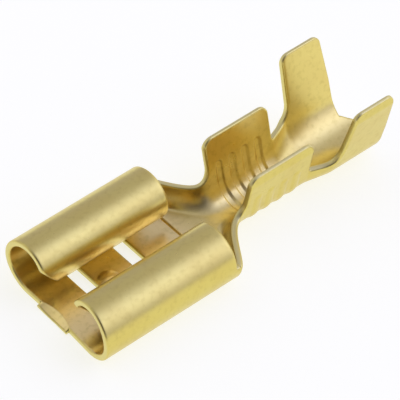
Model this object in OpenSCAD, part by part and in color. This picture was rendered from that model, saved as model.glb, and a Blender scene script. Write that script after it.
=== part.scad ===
// Open-barrel crimp connector with a rolled receptacle for a flat blade.
// One stamped and folded brass sheet. X runs from the blade end to the wire end, Z is up.
// The origin is under the middle of the overall length, on the underside of the floor.

/* [Sheet] */
// Thickness of the brass sheet
sheet_t = 0.32; // [0.26:0.01:0.4]
// Thickness of the sheet at the coined tips of the wings
tip_t = 0.19; // [0.12:0.01:0.24]
// How far the coining reaches down from the tips of the wings
tip_l = 0.45; // [0.3:0.05:0.6]

/* [Blade receptacle] */
// Width of the flat blade that slides in
blade_w = 6.3; // [5.6:0.1:7.4]
// Clearance between the blade and the rolled wall, on each side
blade_gap = 0.28; // [0.1:0.02:0.4]
// Length of the receptacle
socket_l = 7.25; // [6.5:0.05:9]
// Height over the rolled sides
roll_h = 3; // [2.8:0.1:3.4]
// How much tighter the curled flap is rolled than the side wall
curl_drop = 0.24; // [0.15:0.01:0.35]
// Gap between the lip of the curled flap and the floor
lip_gap = 0.6; // [0.45:0.05:0.75]
// Length of the corner cut off at the front of each lip
lip_cut_l = 1; // [0.5:0.05:1.2]
// Height of the corner cut off at the front of each lip
lip_cut_h = 1.3; // [0.8:0.05:1.5]

/* [Floor] */
// Length of the cut-off tab at the front edge
tab_l = 0.15; // [0.1:0.05:0.4]
// Width of the cut-off tab
tab_w = 2.1; // [1.6:0.1:3]
// How far the lead-in scoop reaches back into the floor
scoop_l = 0.25; // [0.15:0.05:0.4]
// Slope of the lead-in scoop, in degrees
scoop_slope = 36; // [30:1:40]
// Radius of the lead-in scoop across the floor
scoop_r = 3.3; // [2.5:0.1:5]
// Distance from the front edge to the first cross window
window_x = 1.93; // [1.5:0.01:2.2]
// Length of each cross window
window_l = 0.65; // [0.4:0.05:0.9]
// Distance from one cross window to the next
window_pitch = 2.65; // [2.5:0.05:3]
// Flat left at each end of a window before the bend begins
window_margin = 0.35; // [0.2:0.05:0.6]
// Flat left between the first window and the detent dimple
dimple_gap = 0.02; // [0.01:0.01:0.3]
// Radius of the detent dimple
dimple_r = 0.58; // [0.45:0.01:0.7]
// Height of the detent dimple above the floor
dimple_h = 0.2; // [0.14:0.02:0.4]

/* [Neck] */
// Length of the neck between the receptacle and the conductor barrel
neck_l = 2.5; // [2.2:0.1:3.6]
// Length over which the neck keeps the width of the receptacle
neck_hold = 0.2; // [0.1:0.05:0.6]
// How much higher the neck and the barrels lie than the floor
step_h = 0.2; // [0.1:0.01:0.22]
// How far the floor runs on behind the rolls before the step
step_run = 0.15; // [0.1:0.05:0.3]
// How far the raised neck laps over the end of the floor
step_lap = 0.08; // [0.06:0.02:0.3]
// Height of the neck's side walls where they leave the rolls
neck_rear_h = 1.45; // [1.3:0.05:1.65]
// Height of the neck's side walls in front of the conductor barrel
neck_low_h = 1.44; // [1.2:0.02:1.6]

/* [Conductor barrel] */
// Length of the conductor wings
wire_l = 3.8; // [3.2:0.05:4.8]
// Inner radius of the bottom of the conductor barrel
wire_r = 1.06; // [0.9:0.02:1.2]
// Outward lean of the conductor wings, in degrees
wire_flare = 11.5; // [8:0.5:18]
// Height of the conductor wings
wire_h = 3.75; // [3:0.05:4.2]
// Radius of the wing's top corners
wire_corner_r = 0.5; // [0.2:0.05:0.7]
// Radius of the inside corner in front of the wing
wire_fillet_r = 0.8; // [0.5:0.05:1]
// Radius of the inside corner behind the wing
wire_rear_fillet_r = 0.15; // [0.1:0.05:0.3]
// Number of serration grooves
groove_n = 4; // [2:1:4]
// Distance from the front edge of the wings to the first groove
groove_start = 0.64; // [0.4:0.02:0.8]
// Distance between serration grooves
groove_pitch = 0.77; // [0.6:0.01:0.8]
// Width of a serration groove
groove_w = 0.4; // [0.2:0.01:0.45]
// Depth of a serration groove
groove_d = 0.08; // [0.05:0.01:0.12]
// Height that the grooves reach up the wings
groove_h = 2.4; // [2:0.1:2.9]

/* [Insulation barrel] */
// Length of the throat between the two pairs of wings
throat_l = 1.5; // [1.2:0.05:2.5]
// Length over which the throat widens behind the conductor wings
widen_l = 1.15; // [0.9:0.05:1.2]
// Height of the lowest edge in the throat
throat_h = 1.75; // [1.4:0.05:2]
// Length of the insulation wings
grip_l = 2.6; // [1.8:0.05:3.5]
// Inner radius of the bottom of the insulation barrel
grip_r = 1.62; // [1.3:0.02:1.8]
// Outward lean of the insulation wings, in degrees
grip_flare = 15; // [8:0.5:20]
// Height of the insulation wings
grip_h = 5; // [4:0.05:6]
// How far each end of an insulation wing leans in at the top
grip_taper = 0.15; // [0:0.05:0.4]
// Radius of the wing's top corners
grip_corner_r = 0.4; // [0.2:0.05:0.7]
// Radius of the inside corner in front of the insulation wing
grip_fillet_r = 0.85; // [0.6:0.05:1]
// Length of the cut-off tail behind the insulation wings
tail_l = 0.5; // [0.3:0.05:1]
// Width of the tail where it leaves the insulation barrel
tail_front_w = 2.2; // [1.8:0.1:3]
// Width of the tail at its cut end
tail_rear_w = 1.3; // [0.5:0.1:1.8]

/* [Hidden] */

$fn = 96;
brass = [0.80, 0.67, 0.34];

// Receptacle section: floor, side wall rolled through a half turn, then a tighter curl down to the lip
socket_w = blade_w + 2 * blade_gap + 2 * sheet_t;
roll_r = roll_h / 2;
curl_r = roll_r - curl_drop;
flat_w = socket_w - 2 * roll_r;
curl_z = roll_h - curl_r;
lip_z = sheet_t + lip_gap;
curl_angle = acos((lip_z - curl_z) / curl_r);
low_wall_angle = asin((neck_rear_h - roll_r) / roll_r);
window_w = flat_w - 2 * window_margin;
dimple_x = window_x + window_l + dimple_gap + dimple_r;
dome_r = (dimple_r * dimple_r + dimple_h * dimple_h) / (2 * dimple_h);

// Stations along the part, measured from the front edge of the floor
wire_x = socket_l + neck_l;
throat_x = wire_x + wire_l;
grip_x = throat_x + throat_l;
tail_x = grip_x + grip_l;
end_x = tail_x + tail_l;
middle_x = (end_x - tab_l) / 2;
groove_x = wire_x + groove_start;

// Lofted stretches end inside the rolled wall and the barrels, thinner than those by these amounts
seat_out = 0.03;
seat_in = 0.01;
seat_l = 0.15;
seat_flat = 0.02;

// The neck keeps the conductor barrel's bend radius: its flat narrows and its walls lean outwards
neck_flat = socket_w / 2 - (wire_r + sheet_t);
neck_turn = 97;
neck_lead = 0.68;
neck_stations = 18;
neck_wall = (neck_low_h + wire_fillet_r + sheet_t - step_h - wire_r) / cos(wire_flare);
neck_wall_start = 0.1;
throat_stations = 10;
bend_steps = 10;
cut = 1;
reach = 20;

// Ring sector from angle a0 to angle a1
module arc_band(r_out, a0, a1) {
    steps = 6;
    far = 2 * r_out;
    angles = [for (i = [0 : steps]) a0 + (a1 - a0) * i / steps];
    intersection() {
        difference() {
            circle(r = r_out);
            circle(r = r_out - sheet_t);
        }
        polygon(concat([[0, 0]], [for (a = angles) far * [cos(a), sin(a)]]));
    }
}

// A section drawn across the part, carried along X
module along_x(x, l) {
    translate([x, 0, 0])
        rotate([90, 0, 90])
            linear_extrude(l)
                children();
}

// A side view, carried across the part
module across_y(w) {
    rotate([90, 0, 0])
        linear_extrude(w, center = true)
            children();
}

// Floor with both side walls, bent up as far as the given angle
module tray_section(angle) {
    translate([-flat_w / 2, 0])
        square([flat_w, sheet_t]);
    for (side = [0, 1])
        mirror([side, 0])
            translate([flat_w / 2, roll_r])
                arc_band(roll_r, -90, angle);
}

// Tray rolled over on both sides, then curled down to the lips
module receptacle_section() {
    tray_section(90);
    for (side = [0, 1])
        mirror([side, 0])
            translate([flat_w / 2, curl_z])
                arc_band(curl_r, 90, 90 + curl_angle);
}

// Slanted cut that takes off the front corner of each lip
module lip_cut() {
    low = lip_z - lip_gap / 2;
    slope = lip_cut_h / lip_cut_l;
    across_y(flat_w)
        polygon([
            [-cut, lip_z + lip_cut_h + slope * cut],
            [lip_cut_l + (lip_z - low) / slope, low],
            [-cut, low]
        ]);
}

// Round-bottomed lead-in across the front edge of the floor
module lead_in_scoop() {
    translate([scoop_l, 0, sheet_t])
        rotate([0, 90 - scoop_slope, 0])
            translate([-scoop_r, 0, -2 * cut])
                cylinder(r = scoop_r, h = 2 * cut + sheet_t / 4);
}

module windows() {
    for (i = [0, 1])
        translate([window_x + i * window_pitch, -window_w / 2, -cut])
            cube([window_l, window_w, cut + sheet_t + lip_gap / 2]);
}

module dimple() {
    translate([dimple_x, 0, sheet_t + dimple_h - dome_r])
        intersection() {
            sphere(r = dome_r);
            translate([-dome_r, -dome_r, dome_r - dimple_h - sheet_t / 2])
                cube([2 * dome_r, 2 * dome_r, 2 * dome_r]);
        }
}

module dimple_hollow() {
    translate([dimple_x, 0, sheet_t + dimple_h - dome_r])
        sphere(r = dome_r - sheet_t);
}

module receptacle() {
    difference() {
        union() {
            difference() {
                along_x(0, socket_l)
                    receptacle_section();
                lip_cut();
            }
            along_x(socket_l - step_lap, step_lap + step_run)
                tray_section(low_wall_angle);
            translate([-tab_l, -tab_w / 2, 0])
                cube([tab_l + scoop_l, tab_w, sheet_t]);
            dimple();
        }
        lead_in_scoop();
        windows();
        dimple_hollow();
    }
}

// Half of an open channel section: flat, bend and straight wall, offset to a chosen radius
function half_channel(flat, r, centre_z, turn, wall) = concat(
    [for (i = [0 : bend_steps]) let (a = turn * i / bend_steps) [flat + r * sin(a), centre_z - r * cos(a)]],
    [[flat + r * sin(turn) + wall * cos(turn), centre_z - r * cos(turn) + wall * sin(turn)]]
);

function flip(points) = [for (i = [len(points) - 1 : -1 : 0]) [-points[i][0], points[i][1]]];

function backwards(points) = [for (i = [len(points) - 1 : -1 : 0]) points[i]];

// Closed outline of a channel section, at distance x along the part
function channel_ring(x, flat, r_in, turn, wall) =
    let (
        centre_z = step_h + r_in + sheet_t,
        outer = half_channel(flat, r_in + sheet_t - seat_out, centre_z, turn, wall),
        inner = half_channel(flat, r_in + seat_in, centre_z, turn, wall),
        ring = concat(flip(outer), outer, backwards(inner), backwards(flip(inner)))
    )
    [for (p = ring) [x, p[0], p[1]]];

// Skin through a row of rings
module loft(rings) {
    n = len(rings[0]);
    m = len(rings);
    half = n / 2;
    sides = [for (j = [0 : m - 2]) for (i = [0 : n - 1]) let (k = (i + 1) % n)
        [j * n + i, (j + 1) * n + i, (j + 1) * n + k, j * n + k]];
    start = [for (i = [0 : half - 2]) [i, i + 1, n - 2 - i, n - 1 - i]];
    end = [for (q = start) [for (i = [3 : -1 : 0]) (m - 1) * n + q[i]]];
    points = [for (ring = rings) for (p = ring) p];
    polyhedron(points = points, faces = concat(sides, start, end), convexity = 6);
}

// Fall from 1 to 0 that leaves and arrives level, sooner for a smaller lead
function ease(u, lead) = (1 + cos(180 * pow(min(max(u, 0), 1), lead))) / 2;

function mix(a, b, u) = a + (b - a) * u;

function neck_ring(x) =
    let (u = ease((x - socket_l - neck_hold) / (neck_l - neck_hold), neck_lead))
    channel_ring(
        x,
        mix(seat_flat, neck_flat - seat_flat, u),
        wire_r,
        mix(90 - wire_flare, neck_turn, u),
        mix(neck_wall, neck_wall_start, u)
    );

module neck() {
    from = socket_l + step_run - step_lap;
    step = (wire_x + seat_l - from) / neck_stations;
    loft([for (i = [0 : neck_stations]) neck_ring(from + step * i)]);
}

function throat_ring(x) =
    let (
        u = min(max((x - throat_x) / widen_l, 0), 1),
        r = mix(wire_r, grip_r, u),
        flare = mix(wire_flare, grip_flare, u),
        wall = (throat_h + grip_fillet_r + sheet_t - step_h - r) / cos(flare)
    )
    channel_ring(x, seat_flat, r, 90 - flare, wall);

module throat() {
    from = throat_x - seat_l;
    step = (throat_l + 2 * seat_l) / throat_stations;
    loft([for (i = [0 : throat_stations]) throat_ring(from + step * i)]);
}

// Round-bottomed U with two leaning wings, coined thinner on the outside of their tips
module barrel_section(r_in, flare, h) {
    r_out = r_in + sheet_t;
    wall = (h - step_h - r_out + r_in * sin(flare)) / cos(flare);
    translate([0, step_h + r_out]) {
        arc_band(r_out, 180 + flare, 360 - flare);
        for (side = [0, 1])
            mirror([side, 0])
                rotate(-flare)
                    translate([r_in, 0])
                        polygon([
                            [0, 0],
                            [sheet_t, 0],
                            [sheet_t, wall - tip_l],
                            [tip_t, wall],
                            [tip_t, wall + cut],
                            [0, wall + cut]
                        ]);
    }
}

// Wing in side view, with ends that lean in and two round top corners
module wing_outline(x, l, h, r, taper = 0) {
    lean = atan(taper / h);
    corner_x = tan(lean) * (h - r) + r / cos(lean);
    edge = [[0, 0], [corner_x - r * cos(lean), h - r + r * sin(lean)], [corner_x, h]];
    translate([x, 0]) {
        polygon(concat(edge, [for (i = [2 : -1 : 0]) [l - edge[i][0], edge[i][1]]]));
        for (cx = [corner_x, l - corner_x])
            translate([cx, h - r])
                circle(r = r);
    }
}

// Inside corner of radius r that fills the corner at the origin towards +X and +Z
module fillet_outline(r) {
    difference() {
        square(r);
        translate([r, r])
            circle(r = r);
    }
}

// Edge of the stamped sheet behind the receptacle, seen from the side
module edge_outline() {
    polygon([
        [socket_l - cut, 0],
        [end_x, 0],
        [end_x, throat_h],
        [wire_x + wire_l / 2, throat_h],
        [wire_x, neck_low_h],
        [socket_l + neck_l / 2, neck_low_h],
        [socket_l, neck_rear_h],
        [socket_l - cut, neck_rear_h]
    ]);
    wing_outline(wire_x, wire_l, wire_h, wire_corner_r);
    wing_outline(grip_x, grip_l, grip_h, grip_corner_r, grip_taper);
    translate([wire_x, neck_low_h])
        mirror([1, 0])
            fillet_outline(wire_fillet_r);
    translate([throat_x, throat_h])
        fillet_outline(wire_rear_fillet_r);
    translate([grip_x, throat_h])
        mirror([1, 0])
            fillet_outline(grip_fillet_r);
}

// Serration grooves round the inside of the conductor barrel
module groove_section() {
    r_out = wire_r + groove_d;
    wall = (groove_h - step_h - sheet_t - wire_r + wire_r * sin(wire_flare)) / cos(wire_flare);
    translate([0, step_h + sheet_t + wire_r]) {
        circle(r = r_out);
        for (side = [0, 1])
            mirror([side, 0])
                rotate(-wire_flare)
                    square([r_out, wall]);
    }
}

module grooves() {
    for (i = [0 : groove_n - 1])
        along_x(groove_x + i * groove_pitch - groove_w / 2, groove_w)
            groove_section();
}

// What is cut away on both sides of the tail, seen from above
module tail_sides() {
    for (side = [0, 1])
        mirror([0, side, 0])
            linear_extrude(reach)
                polygon([
                    [tail_x, tail_front_w / 2],
                    [end_x, tail_rear_w / 2],
                    [end_x + cut, tail_rear_w / 2],
                    [end_x + cut, reach],
                    [tail_x, reach]
                ]);
}

module barrels() {
    difference() {
        intersection() {
            union() {
                neck();
                along_x(wire_x, wire_l)
                    barrel_section(wire_r, wire_flare, wire_h);
                throat();
                along_x(grip_x, grip_l + tail_l)
                    barrel_section(grip_r, grip_flare, grip_h);
            }
            across_y(reach)
                edge_outline();
        }
        grooves();
        tail_sides();
    }
}

module terminal() {
    color(brass)
        translate([-middle_x, 0, 0]) {
            receptacle();
            barrels();
        }
}

terminal();
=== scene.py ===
from types import SimpleNamespace

import bpy
import numpy as np
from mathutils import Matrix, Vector


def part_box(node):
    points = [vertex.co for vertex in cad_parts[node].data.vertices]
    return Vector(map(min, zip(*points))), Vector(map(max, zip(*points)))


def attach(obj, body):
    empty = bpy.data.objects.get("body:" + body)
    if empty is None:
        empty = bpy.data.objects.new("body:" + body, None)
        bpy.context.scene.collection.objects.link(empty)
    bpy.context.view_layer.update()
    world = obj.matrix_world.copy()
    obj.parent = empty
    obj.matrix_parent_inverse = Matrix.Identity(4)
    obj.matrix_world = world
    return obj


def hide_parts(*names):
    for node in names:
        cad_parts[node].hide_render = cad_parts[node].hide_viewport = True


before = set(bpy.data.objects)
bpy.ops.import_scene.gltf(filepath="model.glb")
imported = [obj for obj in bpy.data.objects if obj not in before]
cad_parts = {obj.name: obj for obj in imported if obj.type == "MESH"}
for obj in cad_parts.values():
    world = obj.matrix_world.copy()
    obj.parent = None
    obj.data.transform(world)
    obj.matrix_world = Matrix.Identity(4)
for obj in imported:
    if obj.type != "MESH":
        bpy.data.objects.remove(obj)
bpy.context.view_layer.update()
print("frame loaded:", sorted(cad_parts))

mm = 0.001

# the folded sheet, in millimetres and degrees, with x from the front edge of the floor to the wire end
terminal = dict(
    # the sheet, its sheared edges and the thinner wing tips
    sheet=0.32, edgeRound=0.09, tipThickness=0.19, tipLength=0.45,
    # receptacle: rolled sides, their cut lips, and the mouth, whose rim is round above rimStart of the height
    socketWidth=7.5, socketLength=7.25, rollHeight=3.0, curlDrop=0.24, lipGap=0.6,
    lipCutLength=1.0, lipCutHeight=1.3, lipCutFade=2.2,
    mouthBack=0.1, mouthSkew=0.2, mouthSkewReach=3.5, rimRadius=0.12, rimStart=0.8,
    # floor: cut-off tab and its scoop, windows and dimple
    tabLength=0.15, tabWidth=2.1, tabShift=0.25, tabFade=0.2, tabSpread=0.4,
    scoopLength=0.25, scoopSlope=36, scoopRadius=3.3, scoopFloor=0.06,
    windowStart=1.93, windowLength=0.65, windowPitch=2.65, windowMargin=0.35,
    dimpleGap=0.02, dimpleRadius=0.58, dimpleHeight=0.14, dimpleShift=0.3,
    # neck, and the small step where it starts
    neckLength=2.5, neckHold=0.2, neckLead=0.68, neckTurn=97, neckRearHeight=1.45, neckLowHeight=1.44,
    riseHeight=0.2, stepShare=0.4, stepStart=0.13, stepEnd=0.2,
    # barrel for the strands, with grooves inside and ripples outside; their walls are in half groove widths
    wireLength=3.8, wireRadius=1.06, wireFlare=11.5, wireHeight=3.75, wireCorner=0.5,
    wireFillet=0.8, wireRearFillet=0.15,
    grooveCount=4, groovePitch=0.77, grooveStart=0.64, grooveWidth=0.4, grooveHeight=2.4,
    grooveDepth=0.08, grooveWall=(0.6, 1.1), rippleHeight=0.05, rippleWall=(0.3, 1.4),
    # throat, barrel for the insulation, and the cut-off tail
    throatLength=1.5, throatHeight=1.75, widenLength=1.15, widenRound=0.04,
    gripLength=2.6, gripRadius=1.62, gripFlare=15, gripHeight=5.0,
    gripCorner=0.4, gripTaper=0.15, gripFillet=0.85,
    tailLength=0.5, tailFrontWidth=2.2, tailRearWidth=1.3,
)


def workOut(sizes):
    # radii and heights of the middle of the sheet, and the stations along x, from the driving sizes
    s = SimpleNamespace(**sizes)
    s.half = s.sheet / 2
    s.rollMid = s.rollHeight / 2 - s.half
    s.curlMid = s.rollHeight / 2 - s.curlDrop - s.half
    s.flat = (s.socketWidth - s.rollHeight) / 2
    s.sideArc = s.flat + s.rollMid * np.pi / 2
    s.rollArc = s.flat + np.pi * s.rollMid
    lipDrop = (s.rollHeight - s.sheet - s.lipGap) / (s.curlMid + s.half) - 1
    s.lipArc = s.rollArc + s.curlMid * np.arccos(-lipDrop)
    s.lipCutTop = s.sheet + s.lipGap + s.lipCutHeight
    s.windowHalf = s.flat - s.windowMargin
    s.dimpleX = s.windowStart + s.windowLength + s.dimpleGap + s.dimpleRadius
    s.neckX = s.socketLength
    s.wireX = s.neckX + s.neckLength
    s.throatX = s.wireX + s.wireLength
    s.gripX = s.throatX + s.throatLength
    s.tailX = s.gripX + s.gripLength
    s.endX = s.tailX + s.tailLength
    s.wireMid = s.wireRadius + s.half
    s.gripMid = s.gripRadius + s.half
    s.neckFlat = s.socketWidth / 2 - s.wireRadius - s.sheet
    return s


s = workOut(terminal)


def ramp(a, b, x):
    # smooth rise from 0 at a to 1 at b
    u = np.clip((x - a) / (b - a), 0, 1)
    return u * u * (3 - 2 * u)


def fall(u, lead):
    # cosine fall from 1 to 0, sooner for a smaller lead
    return (1 + np.cos(np.pi * np.clip(u, 0, 1) ** lead)) / 2


def steps(number):
    # even steps up to 1, without 0
    return np.arange(1, number + 1) / number


def unit(v):
    # vectors made one long
    tiny = 1e-12
    return v / np.maximum(np.linalg.norm(v, axis=-1, keepdims=True), tiny)


def rollPoint(w):
    # receptacle section at arc length w from the middle:
    # flat floor, half turn of the side wall, then the tighter curl
    side = np.clip((w - s.flat) / s.rollMid, 0, np.pi)
    curl = np.maximum(w - s.rollArc, 0) / s.curlMid
    y = np.minimum(w, s.flat) + s.rollMid * np.sin(side) - s.curlMid * np.sin(curl)
    z = s.half + s.rollMid * (1 - np.cos(side)) - s.curlMid * (1 - np.cos(curl))
    return y, z


def troughAt(x):
    # flat half width, bend radius and turn of the open trough behind the receptacle
    neck = fall((x - s.neckX - s.neckHold) / (s.neckLength - s.neckHold), s.neckLead)
    widen = (x - s.throatX) / s.widenLength
    grip = (1 + np.hypot(widen, s.widenRound) - np.hypot(widen - 1, s.widenRound)) / 2
    radius = s.wireMid + (s.gripMid - s.wireMid) * grip
    lean = s.wireFlare + (s.gripFlare - s.wireFlare) * grip
    turn = np.radians(90 - lean + (s.neckTurn - 90 + lean) * neck)
    return s.neckFlat * neck, radius, turn


def troughLow(x):
    # height of the sheet's middle along the bottom: part of the rise at the step, the rest along the neck
    return s.half + s.riseHeight * (s.stepShare + (1 - s.stepShare) * ramp(s.neckX, s.wireX, x))


def troughPoint(x, w):
    # trough section at arc length w from the middle: flat, bend, then a straight leaning wall
    flat, radius, turn = troughAt(x)
    bend = np.clip((w - flat) / radius, 0, turn)
    wall = np.maximum(w - flat - radius * turn, 0)
    y = np.minimum(w, flat) + radius * np.sin(bend) + wall * np.cos(turn)
    z = troughLow(x) + radius * (1 - np.cos(bend)) + wall * np.sin(turn)
    return y, z


def troughArc(x, z):
    # arc length at which the trough section reaches height z
    flat, radius, turn = troughAt(x)
    rise = z - troughLow(x)
    bend = np.arccos(np.clip(1 - rise / radius, np.cos(turn), 1))
    wall = np.maximum(rise - radius * (1 - np.cos(turn)), 0) / np.sin(turn)
    return flat + radius * bend + wall


def edgeHeight(x):
    # height of the trough's cut edge: low in the neck and the throat, with round inside corners at the wings
    e = s.edgeRound

    def corner(centreX, centreZ, radius):
        return centreZ - np.sqrt(np.maximum((radius + e) ** 2 - (x - centreX) ** 2, 0))

    wireFoot = s.neckLowHeight + s.wireFillet
    throatFoot = s.throatHeight + s.wireRearFillet
    gripFoot = s.throatHeight + s.gripFillet
    neckSlope = np.clip((x - s.neckX) / (s.neckLength / 2), 0, 1)
    wireShare = np.clip((x - s.wireX) / s.wireLength, 0, 1)
    places = [
        x <= s.wireX - s.wireFillet,
        x <= s.wireX + e,
        x < s.throatX - e,
        x <= s.throatX + s.wireRearFillet,
        x <= s.gripX - s.gripFillet,
        x <= s.gripX + e,
    ]
    heights = [
        s.neckRearHeight + (s.neckLowHeight - s.neckRearHeight) * neckSlope - e,
        corner(s.wireX - s.wireFillet, wireFoot, s.wireFillet),
        wireFoot + (throatFoot - wireFoot) * wireShare,
        corner(s.throatX + s.wireRearFillet, throatFoot, s.wireRearFillet),
        s.throatHeight - e,
        corner(s.gripX - s.gripFillet, gripFoot, s.gripFillet),
    ]
    return np.select(places, heights, gripFoot)


def layStations():
    # stations along x: even runs between features, sine spacing where a round corner turns upright
    e = s.edgeRound
    window1 = s.windowStart + s.windowPitch
    grooveReach = 0.75 * s.grooveWidth
    # each run has a name, where it stops, its cells and their spacing
    runs = [
        ("front", e, 5, "even"),
        ("lipEnd", s.lipCutLength, 22, "even"),
        ("window0", s.windowStart - e, 8, "even"),
        ("window0End", s.windowStart + s.windowLength + e, 6, "even"),
        ("dimpleEnd", s.dimpleX + s.dimpleRadius + e, 18, "even"),
        ("window1", window1 - e, 5, "even"),
        ("window1End", window1 + s.windowLength + e, 6, "even"),
        ("rollEnd", s.neckX - e, 14, "even"),
        ("stepStart", s.neckX + s.stepStart, 3, "even"),
        ("stepEnd", s.neckX + s.stepEnd, 10, "even"),
        ("wireFillet", s.wireX - s.wireFillet, 18, "even"),
        ("wire", s.wireX + e, 9, "rise"),
    ]
    for i in range(s.grooveCount):
        centre = s.wireX + s.grooveStart + i * s.groovePitch
        runs.append((f"land{i}", centre - grooveReach, 4, "even"))
        runs.append((f"groove{i}", centre + grooveReach, 16, "even"))
    runs += [
        ("wireEnd", s.throatX - e, 7, "even"),
        ("throat", s.throatX + s.wireRearFillet, 6, "sink"),
        ("gripFillet", s.gripX - s.gripFillet, 4, "even"),
        ("grip", s.gripX + e, 12, "rise"),
        ("gripEnd", s.tailX - e, 18, "even"),
        ("end", s.endX - e, 7, "even"),
    ]
    x = [np.array([e - s.tabLength])]
    marks = {}
    count = 0
    for name, stop, number, spacing in runs:
        u = steps(number)
        share = {"even": u, "rise": np.sin(u * np.pi / 2), "sink": 1 - np.cos(u * np.pi / 2)}[spacing]
        start = x[-1][-1]
        x.append(start + (stop - start) * share)
        count += number
        marks[name] = count
    return np.concatenate(x), SimpleNamespace(**marks)


xs, at = layStations()

# mesh cells from the middle out to the tab's width, to the windows' ends and to the edge,
# then up a roll, up a wing and round a wing's top corner
cells = SimpleNamespace(core=14, mid=8, side=22, roll=60, wing=24, corner=8)


def fan(core, mid, edge):
    # arc lengths of the lines that run along the part: evenly to core, on to mid, on to edge, on both sides
    toCore = core * steps(cells.core)
    toMid = core + (mid - core) * steps(cells.mid)
    toEdge = mid + (edge - mid) * steps(cells.side)
    half = np.concatenate([toCore, toMid, toEdge], axis=1)
    return np.concatenate([-half[:, ::-1], 0 * core, half], axis=1)


def baseSheet():
    # floor, neck and trough as one strip: receptacle section in front of the step, trough section behind it
    e = s.edgeRound
    x = xs[:, None]
    one = np.ones_like(x)
    tabHalf = s.tabWidth / 2
    wFront = fan(one * (tabHalf - e), one * (s.windowHalf + e), one * (s.sideArc - e))
    tailShare = np.clip((x - s.tailX) / s.tailLength, 0, 1)
    tailHalf = (s.tailFrontWidth + (s.tailRearWidth - s.tailFrontWidth) * tailShare) / 2
    tailArc = s.gripMid * np.arcsin(tailHalf / s.gripMid) - e
    coreShare = np.clip((x - s.neckX) / (s.tailX - s.neckX), 0, 1)
    core = (tabHalf - e) * (1 - coreShare) + tailArc * coreShare
    edge = troughArc(x, edgeHeight(x))
    midShare = 0.35
    wRear = fan(core, core + midShare * (edge - core), edge)
    yFront, zFront = rollPoint(np.abs(wFront))
    yRear, zRear = troughPoint(x, np.abs(wRear))
    behind = ramp(s.neckX + s.stepStart, s.neckX + s.stepEnd, x)
    y = np.sign(wFront) * (yFront + (yRear - yFront) * behind)
    z = zFront + (zRear - zFront) * behind
    nearFront = 1 - ramp(s.tabFade, s.windowStart - s.tabFade, x)
    nearTab = nearFront * (1 - ramp(tabHalf, s.windowHalf + s.tabSpread, np.abs(y)))
    return x + 0 * y, y + s.tabShift * nearTab, z


def rollSheet():
    # one rolled side above the strip's edge: rows of arc length, set back at the mouth and cut away at the lip
    e = s.edgeRound
    start = s.sideArc - e
    w = (start + (s.lipArc - e - start) * steps(cells.roll))[:, None]
    y, z = rollPoint(w)
    cutBack = s.lipCutLength * np.clip((s.lipCutTop - z) / s.lipCutHeight, 0, 1) * (w > s.rollArc)
    setBack = s.mouthBack * ramp(start, s.rollArc, w) + cutBack
    x = xs[at.front:at.rollEnd + 1][None]
    x = x + setBack * (1 - ramp(0, s.lipCutFade, x))
    return x, y + 0 * x, z + 0 * x


def wingSheet(first, last, front, rear, height, corner, taper):
    # one wing above the strip's edge: rows that draw in towards the top and shrink round the two top corners
    e = s.edgeRound
    x0 = xs[first:last + 1][None]
    share = (x0 - x0[0, 0]) / (x0[0, -1] - x0[0, 0])
    foot = troughArc(x0, edgeHeight(x0))
    top = troughArc(x0, height) - e
    r = corner - e
    straight = steps(cells.wing)[:, None]
    turn = steps(cells.corner)[:, None] * np.pi / 2
    w = np.concatenate([foot + (top - r - foot) * straight, top - r * (1 - np.sin(turn))])
    inset = np.concatenate([0 * straight, r * (1 - np.cos(turn))])
    drawnIn = taper * (w - foot) / (top - foot)
    left = front + e + inset + drawnIn
    right = rear - e - inset - drawnIn
    x = left + (right - left) * share
    y, z = troughPoint(x, w)
    return x, y, z


def gridQuads(grid, holes=()):
    # one quad for each cell of a grid of point numbers, apart from the holes
    keep = np.ones((grid.shape[0] - 1, grid.shape[1] - 1), bool)
    for rows, columns in holes:
        keep[rows, columns] = False
    corners = np.stack([grid[:-1, :-1], grid[1:, :-1], grid[1:, 1:], grid[:-1, 1:]], -1)
    return corners[keep]


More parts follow.
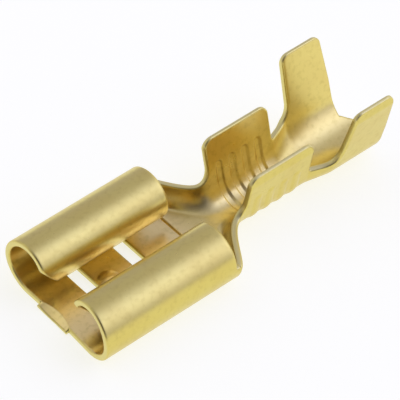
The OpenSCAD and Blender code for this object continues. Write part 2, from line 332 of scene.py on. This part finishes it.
def foldSheet():
    # the whole middle surface: points, quads that face the inside of the folds, the closed edge loops,
    # and how far each point of a roll lies behind the mouth
    baseX, baseY, baseZ = baseSheet()
    base = np.arange(baseX.size).reshape(baseX.shape)
    middle = base.shape[1] // 2
    mid = cells.core + cells.mid
    coreColumns = slice(middle - cells.core, middle + cells.core + 1)
    windowColumns = slice(middle - mid, middle + mid)
    windowRows = ((at.window0, at.window0End), (at.window1, at.window1End))
    holes = [(slice(a - at.front, b - at.front), windowColumns) for a, b in windowRows]
    quads = [
        gridQuads(base[:at.front + 1, coreColumns]),
        gridQuads(base[at.front:at.gripEnd + 1], holes),
        gridQuads(base[at.gripEnd:, coreColumns]),
    ]

    wireWing = wingSheet(at.wire, at.wireEnd, s.wireX, s.throatX, s.wireHeight, s.wireCorner, 0)
    gripWing = wingSheet(at.grip, at.gripEnd, s.gripX, s.tailX, s.gripHeight, s.gripCorner, s.gripTaper)
    blocks = [
        (at.front, at.rollEnd, rollSheet(), 0),
        (at.wire, at.wireEnd, wireWing, s.socketLength),
        (at.grip, at.gripEnd, gripWing, s.socketLength),
    ]
    points = [np.stack([baseX, baseY, baseZ], -1).reshape(-1, 3)]
    fromMouth = [np.full(baseX.size, s.socketLength)]
    total = baseX.size
    halfLoops = []
    for side in (1, -1):
        edge = middle + side * middle
        core = middle + side * cells.core
        path = [base[:at.front, core], base[at.front, core:edge:side]]
        last = at.front
        for first, stop, (x, y, z), behindMouth in blocks:
            points.append(np.stack([x, side * y, z], -1).reshape(-1, 3))
            fromMouth.append((x - x[:, :1] + s.edgeRound + behindMouth).reshape(-1))
            rows = total + np.arange(x.size).reshape(x.shape)
            total += x.size
            grid = np.concatenate([base[first:stop + 1, edge][None], rows])
            quads.append(gridQuads(grid.T if side > 0 else grid[::-1].T))
            path += [base[last:first, edge], grid[:-1, 0], grid[-1, :-1], grid[:0:-1, -1]]
            last = stop
        path += [base[at.gripEnd, edge:core:-side], base[at.gripEnd:, core]]
        halfLoops.append(np.concatenate(path))

    between = slice(middle - cells.core + 1, middle + cells.core)
    loops = [np.concatenate([base[0, between], halfLoops[0], base[-1, between][::-1], halfLoops[1][::-1]])]
    low, high = middle - mid, middle + mid
    for a, b in windowRows:
        window = [base[a, high:low:-1], base[a:b, low], base[b, low:high], base[b:a:-1, high]]
        loops.append(np.concatenate(window))

    points = np.concatenate(points)
    side = np.clip(-2 * points[:, 1] / s.socketWidth, 0, 1)
    points[:, 0] -= s.mouthSkew * side * (1 - ramp(0, s.mouthSkewReach, points[:, 0]))
    return points, np.concatenate(quads), loops, np.concatenate(fromMouth)


def sheetNormals(middle, quads):
    # a point's normal is the sum of its quads' normals, made one long
    corners = middle[quads]
    quadNormals = np.cross(corners[:, 2] - corners[:, 0], corners[:, 3] - corners[:, 1])
    normals = np.zeros_like(middle)
    np.add.at(normals, quads.reshape(-1), np.repeat(quadNormals, 4, axis=0))
    return unit(normals)


def dimpleLift(x, y):
    # cap of a sphere, pressed up into the floor
    dome = (s.dimpleRadius ** 2 + s.dimpleHeight ** 2) / (2 * s.dimpleHeight)
    fromDimple = (x - s.dimpleX) ** 2 + (y - s.dimpleShift) ** 2
    return np.maximum(np.sqrt(np.maximum(dome ** 2 - fromDimple, 0)) - dome + s.dimpleHeight, 0)


def grooveRelief(x, z):
    # depth of the grooves inside and height of the ripples outside, from the distance to the nearest groove
    groove = (x - s.wireX - s.grooveStart) / s.groovePitch
    nearest = np.clip(np.round(groove), 0, s.grooveCount - 1)
    across = (groove - nearest) * s.groovePitch
    above = np.maximum(z - s.grooveHeight + s.grooveWidth / 2, 0)
    fromGroove = np.hypot(across, above) / (s.grooveWidth / 2)
    inBarrel = (x > s.wireX) & (x < s.throatX)
    carve = s.grooveDepth * (1 - ramp(*s.grooveWall, fromGroove)) * inBarrel
    ripple = s.rippleHeight * (1 - ramp(*s.rippleWall, fromGroove)) * inBarrel
    return carve, ripple


def tipThinning(x, z):
    # how much thinner the wings get, evenly towards their top edges
    onGrip = x > s.throatX + s.throatLength / 2
    tipZ = np.where(onGrip, s.gripHeight, s.wireHeight)
    lean = np.radians(np.where(onGrip, s.gripFlare, s.wireFlare))
    coined = np.clip(1 - (tipZ - z) / (s.tipLength * np.cos(lean)), 0, 1) * (x > s.wireX - s.wireFillet)
    return (s.sheet - s.tipThickness) * coined


def rimDrop(y, z, fromMouth):
    # quarter round on the outer edge of the mouth, along the crown of each roll and the curl
    crown = ramp(s.rimStart * s.rollHeight, s.rollHeight - s.half, z)
    overCrown = np.where(np.abs(y) < s.flat, z > s.sheet, crown)
    short = np.maximum(s.rimRadius - fromMouth, 0)
    return (s.rimRadius - np.sqrt(np.maximum(s.rimRadius ** 2 - short ** 2, 0))) * overCrown


def scoopHeight(x, y):
    # sloping cut at the front edge of the floor, hollow across
    slope = s.sheet - (s.scoopLength - x) * np.tan(np.radians(s.scoopSlope))
    hollow = (y - s.tabShift) ** 2 / (2 * s.scoopRadius)
    return np.maximum(slope + hollow, s.scoopFloor)


def twoFaces(middle, normals, fromMouth):
    # inner and outer face, half a thickness from the middle, with what is pressed and cut into them
    x, y, z = middle.T
    onFloor = (z < s.sheet) & (x < s.neckX)
    lift = np.zeros_like(middle)
    lift[:, 2] = dimpleLift(x, y) * onFloor
    carve, ripple = grooveRelief(x, z)
    inward = s.half - carve
    outward = s.half + ripple - tipThinning(x, z) - rimDrop(y, z, fromMouth)
    inside = middle + lift + normals * inward[:, None]
    outside = middle + lift - normals * outward[:, None]
    scooped = (x < s.scoopLength) & onFloor
    inside[:, 2] = np.where(scooped, np.minimum(inside[:, 2], scoopHeight(x, y)), inside[:, 2])
    return inside, outside


# strip round a sheared edge: turns of its rounded corners in degrees, how sheared each of its rows looks,
# and leastSpread, which keeps it from reaching out too far at a sharp corner
strip = dict(turns=(30, 60, 90), sheared=(0, 0.3, 1, 1, 0.3, 0), leastSpread=0.5)


def edgeStrip(middle, normals, inside, outside, loop):
    # rows round one edge loop: out along a quarter round, down, and back along another
    r = s.edgeRound / s.half
    turn = np.radians(strip["turns"])
    drop = 1 - r * (1 - np.cos(turn))
    reach = np.concatenate([np.sin(turn), np.sin(turn)[::-1]])
    level = np.concatenate([drop, -drop[::-1]])
    p = middle[loop]
    n = normals[loop]
    before = unit(np.cross(n, p - np.roll(p, 1, 0)))
    after = unit(np.cross(n, np.roll(p, -1, 0) - p))
    spread = 1 + np.sum(before * after, axis=1, keepdims=True)
    outward = (before + after) / np.maximum(spread, strip["leastSpread"])
    centre = (inside[loop] + outside[loop]) / 2
    upward = (inside[loop] - outside[loop]) / 2
    return centre + s.edgeRound * reach[:, None, None] * outward + level[:, None, None] * upward


# painted bounce light: share of the brighter colour painted along the inside of the folds, the lengths over
# which it changes, and the heights between which it ends on the curls, all in millimetres
innerTone = dict(
    receptacle=1, neck=0.4, wire=0.7, throat=0.1, grip=0.35,
    neckRun=1.0, throatRun=0.5, curlFull=1.7, curlNone=2.5,
)


def paintBounceLight(points, isInside):
    # painted bounce light inside: straight runs between stations along x; outside: only the lower part of the
    # curls
    tone = SimpleNamespace(**innerTone)
    x, y, z = points.T
    stations = [
        s.neckX, s.neckX + tone.neckRun, s.wireX + tone.throatRun,
        s.throatX - tone.throatRun, s.throatX + tone.throatRun, s.gripX,
    ]
    shares = [tone.receptacle, tone.neck, tone.wire, tone.wire, tone.throat, tone.grip]
    underCurl = (np.abs(y) < s.flat) * (z > s.sheet) * (x < s.neckX)
    curl = underCurl * (1 - ramp(tone.curlFull, tone.curlNone, z))
    return np.where(isInside, np.interp(x, stations, shares), curl)


def thicken(middle, quads, loops, fromMouth):
    # both faces of the sheet, joined round every edge loop by a rounded strip
    normals = sheetNormals(middle, quads)
    inside, outside = twoFaces(middle, normals, fromMouth)
    count = len(middle)
    points = [inside, outside]
    faces = [quads, quads[:, ::-1] + count]
    sheared = [np.zeros(2 * count)]
    total = 2 * count
    for loop in loops:
        rows = edgeStrip(middle, normals, inside, outside, loop)
        points.append(rows.reshape(-1, 3))
        sheared.append(np.repeat(strip["sheared"], len(loop)))
        numbers = total + np.arange(len(rows) * len(loop)).reshape(len(rows), -1)
        total += numbers.size
        grid = np.concatenate([loop[None], numbers, loop[None] + count])
        ahead = np.roll(grid, -1, axis=1)
        faces.append(np.stack([grid[:-1], ahead[:-1], ahead[1:], grid[1:]], -1).reshape(-1, 4))
    used, packed = np.unique(np.concatenate(faces), return_inverse=True)
    points = np.concatenate(points)[used]
    marks = {
        "shearedEdge": np.concatenate(sheared)[used],
        # a brighter colour painted inside the folds and on the lower curls, as painted bounce light
        "innerFace": paintBounceLight(points, used < count),
    }
    return points, packed.reshape(-1, 4), marks


def makeMesh(name, points, faces):
    # one smooth mesh of quads, with its place in its points
    mesh = bpy.data.meshes.new(name)
    mesh.vertices.add(len(points))
    mesh.vertices.foreach_set("co", points.astype(np.float32).ravel())
    mesh.loops.add(faces.size)
    mesh.loops.foreach_set("vertex_index", faces.astype(np.int32).ravel())
    mesh.polygons.add(len(faces))
    mesh.polygons.foreach_set("loop_start", np.arange(0, faces.size, 4, dtype=np.int32))
    mesh.polygons.foreach_set("use_smooth", np.ones(len(faces), bool))
    mesh.update(calc_edges=True)
    mesh.validate()
    obj = bpy.data.objects.new(name, mesh)
    bpy.context.scene.collection.objects.link(obj)
    return obj


def makeTerminal():
    # the sheet with its front edge where the CAD node has it, and its marks for the material
    points, faces, marks = thicken(*foldSheet())
    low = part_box("terminal")[0]
    points[:, 0] += low.x / mm + s.tabLength
    obj = makeMesh("folded_sheet", points * mm, faces)
    for name, values in marks.items():
        attribute = obj.data.attributes.new(name, "FLOAT", "POINT")
        attribute.data.foreach_set("value", values.astype(np.float32))
    print("folded sheet:", len(points), "points,", len(faces), "quads")
    return obj


class Sock:
    # a shader socket that takes part in Python expressions
    def __init__(self, tree, socket=None):
        self.tree = tree
        self.socket = socket

    def node(self, kind, settings=None, out=0, **inputs):
        # a new node: its settings, then its sockets by name, or by number after an underscore
        made = self.tree.nodes.new(kind)
        for key, value in (settings or {}).items():
            setattr(made, key, value)
        for key, value in inputs.items():
            target = made.inputs[int(key[1:])] if key[0] == "_" else made.inputs[key]
            if isinstance(value, Sock):
                self.tree.links.new(value.socket, target)
            else:
                target.default_value = value
        return Sock(self.tree, made.outputs[out])

    def maths(self, operation, a, b):
        return self.node("ShaderNodeMath", {"operation": operation}, _0=a, _1=b)

    def __add__(self, other):
        return self.maths("ADD", self, other)

    __radd__ = __add__

    def __mul__(self, other):
        return self.maths("MULTIPLY", self, other)

    __rmul__ = __mul__

    def __sub__(self, other):
        return self.maths("SUBTRACT", self, other)

    def __rsub__(self, other):
        return self.maths("SUBTRACT", other, self)


# brass: colours of the rolled face, its warmer clouds, the darker flecks, the painted bounce light inside the
# folds, and the cuts;
# a band holds the noise values between which a colour comes in, and heights are in millimetres
brass = dict(
    metal=(0.73, 0.61, 0.165), warm=(0.68, 0.52, 0.13), fleck=(0.56, 0.45, 0.11),
    # the second colour here is painted bounce light: a brighter colour for the inside of the folds
    inner=(0.94, 0.755, 0.285), sheared=(0.78, 0.69, 0.26),
    cloudsPerMm=0.55, warmBand=(0.4, 0.75), warmShare=0.45,
    flecksPerMm=4.0, fleckBand=(0.5, 0.75), fleckShare=0.4, fleckHeight=0.0005,
    swellsPerMm=1.3, swellHeight=0.003, fineDetail=3.0, swellDetail=1.0, noiseRoughness=0.55,
    roughness=0.31, roughnessSpread=0.12, shearedRoughness=0.45,
)


def makeBrass():
    # bright rolled strip: warm clouds, small flecks, painted bounce light inside the folds, a faint swell, and
    # paler, rougher sheared edges
    material = bpy.data.materials.new("brightBrass")
    material.use_nodes = True
    tree = material.node_tree
    shader = tree.nodes["Principled BSDF"]
    maker = Sock(tree)
    place = maker.node("ShaderNodeTexCoord", out=3)
    inMm = maker.node("ShaderNodeMapping", Vector=place, Scale=(1 / mm, 1 / mm, 1 / mm))

    def noise(perMm, detail):
        roughness = brass["noiseRoughness"]
        return maker.node("ShaderNodeTexNoise", Vector=inMm, Scale=perMm, Detail=detail, Roughness=roughness)

    def share(value, band, most):
        return maker.node("ShaderNodeMapRange", Value=value, _1=band[0], _2=band[1], _3=0.0, _4=most)

    def mark(name):
        return maker.node("ShaderNodeAttribute", {"attribute_name": name}, out=2)

    def blend(amount, under, over):
        return maker.node("ShaderNodeMix", {"data_type": "RGBA"}, out=2, _0=amount, _6=under, _7=over)

    clouds = noise(brass["cloudsPerMm"], brass["fineDetail"])
    flecks = noise(brass["flecksPerMm"], brass["fineDetail"])
    swell = noise(brass["swellsPerMm"], brass["swellDetail"])
    sheared = mark("shearedEdge")
    warmth = share(clouds, brass["warmBand"], brass["warmShare"])
    speckle = share(flecks, brass["fleckBand"], brass["fleckShare"])
    rolled = blend(warmth, (*brass["metal"], 1), (*brass["warm"], 1))
    # a brighter colour painted inside the folds and under the curls as painted bounce light
    body = blend(mark("innerFace"), rolled, (*brass["inner"], 1))
    marked = blend(speckle, body, (*brass["fleck"], 1))
    colour = blend(sheared, marked, (*brass["sheared"], 1))
    gloss = brass["roughness"] + (clouds + flecks - 1) * brass["roughnessSpread"]
    rough = gloss + sheared * (brass["shearedRoughness"] - brass["roughness"])
    height = swell * brass["swellHeight"] + flecks * brass["fleckHeight"]
    bump = maker.node("ShaderNodeBump", Height=height, Strength=1.0, Distance=mm)
    tree.links.new(colour.socket, shader.inputs["Base Color"])
    tree.links.new(rough.socket, shader.inputs["Roughness"])
    tree.links.new(bump.socket, shader.inputs["Normal"])
    shader.inputs["Metallic"].default_value = 1.0
    return material


sheetPiece = makeTerminal()
sheetPiece.data.materials.append(makeBrass())
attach(sheetPiece, "root")
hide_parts("terminal")
print("brass applied")

# camera, in millimetres and degrees: a long lens that looks down on the mouth of the receptacle
view = dict(
    azimuth=-40.336, elevation=46.198, distance=140.93, aim=(0.0, 0.0, 1.5), slide=(-0.585, 0.194),
    lens=280.7, sensor=36, nearest=1.0,
)


def makeCamera():
    # back points from the aim to the camera, and the slide moves both along the picture
    az, el = np.radians((view["azimuth"], view["elevation"]))
    back = Vector((np.sin(az) * np.cos(el), -np.cos(az) * np.cos(el), np.sin(el)))
    right = Vector((np.cos(az), np.sin(az), 0))
    up = back.cross(right)
    aim = Vector(view["aim"]) + right * view["slide"][0] + up * view["slide"][1]
    data = bpy.data.cameras.new("camera")
    data.lens = view["lens"]
    data.sensor_width = view["sensor"]
    data.clip_start = view["nearest"] * mm
    camera = bpy.data.objects.new("camera", data)
    camera.location = (aim + back * view["distance"]) * mm
    camera.rotation_euler = back.to_track_quat("Z", "Y").to_euler()
    bpy.context.scene.collection.objects.link(camera)
    bpy.context.scene.camera = camera


# studio, in metres, degrees and linear radiance: soft boxes have an azimuth, elevation, sharpness and light
studio = dict(
    floor=(0.3, 0.3, 0.3), floorGlow=(0.80, 0.80, 0.73), floorRoughness=0.9, floorSize=3.0,
    ambient=(0.54, 0.53, 0.86), darkSide=(237, 34, 1.9), darkShare=0.95,
    softBoxes=dict(
        keyLow=(309, 30, 9.6, (0.85, 0.86, 1.40)),
        keyHigh=(323, 53, 11.8, (0.62, 0.68, 1.40)),
        rear=(128, 41, 9.0, (0.40, 0.40, 0.15)),
        wireEnd=(7, 25, 8.3, (0.38, 0.36, 0.19)),
        bladeEnd=(184, 10, 8.2, (0.12, 0.06, 0.03)),
    ),
)


def makeSky(tree):
    # ambient light that fades towards the dark side, plus the soft boxes
    maker = Sock(tree)
    direction = maker.node("ShaderNodeTexCoord")

    def vector(operation, out=0, **inputs):
        return maker.node("ShaderNodeVectorMath", {"operation": operation}, out, **inputs)

    def lobe(azimuth, elevation, sharpness):
        # e to the power of sharpness times the cosine from the lobe's middle less one
        az, el = np.radians((azimuth, elevation))
        middle = (np.cos(az) * np.cos(el), np.sin(az) * np.cos(el), np.sin(el))
        cosine = vector("DOT_PRODUCT", out=1, _0=direction, _1=middle)
        return maker.maths("POWER", np.e, (cosine - 1) * sharpness)

    sky = vector("SCALE", _0=studio["ambient"], Scale=1 - lobe(*studio["darkSide"]) * studio["darkShare"])
    for azimuth, elevation, sharpness, light in studio["softBoxes"].values():
        box = vector("SCALE", _0=light, Scale=lobe(azimuth, elevation, sharpness))
        sky = vector("ADD", _0=sky, _1=box)
    tree.links.new(sky.socket, tree.nodes["Background"].inputs["Color"])


def makeStudio():
    # the sky, and a pale floor that glows a little, so that it stays light beside the metal
    world = bpy.data.worlds.new("studio")
    bpy.context.scene.world = world
    world.use_nodes = True
    makeSky(world.node_tree)
    half = studio["floorSize"] / 2
    corners = np.array([[-half, -half, 0], [half, -half, 0], [half, half, 0], [-half, half, 0]])
    floor = makeMesh("floor", corners, np.array([[0, 1, 2, 3]]))
    paper = bpy.data.materials.new("palePaper")
    paper.use_nodes = True
    shader = paper.node_tree.nodes["Principled BSDF"]
    shader.inputs["Base Color"].default_value = (*studio["floor"], 1)
    shader.inputs["Roughness"].default_value = studio["floorRoughness"]
    shader.inputs["Emission Color"].default_value = (*studio["floorGlow"], 1)
    shader.inputs["Emission Strength"].default_value = 1.0
    floor.data.materials.append(paper)


makeCamera()
makeStudio()
bpy.context.scene.view_settings.view_transform = "Standard"
print("camera and studio set")
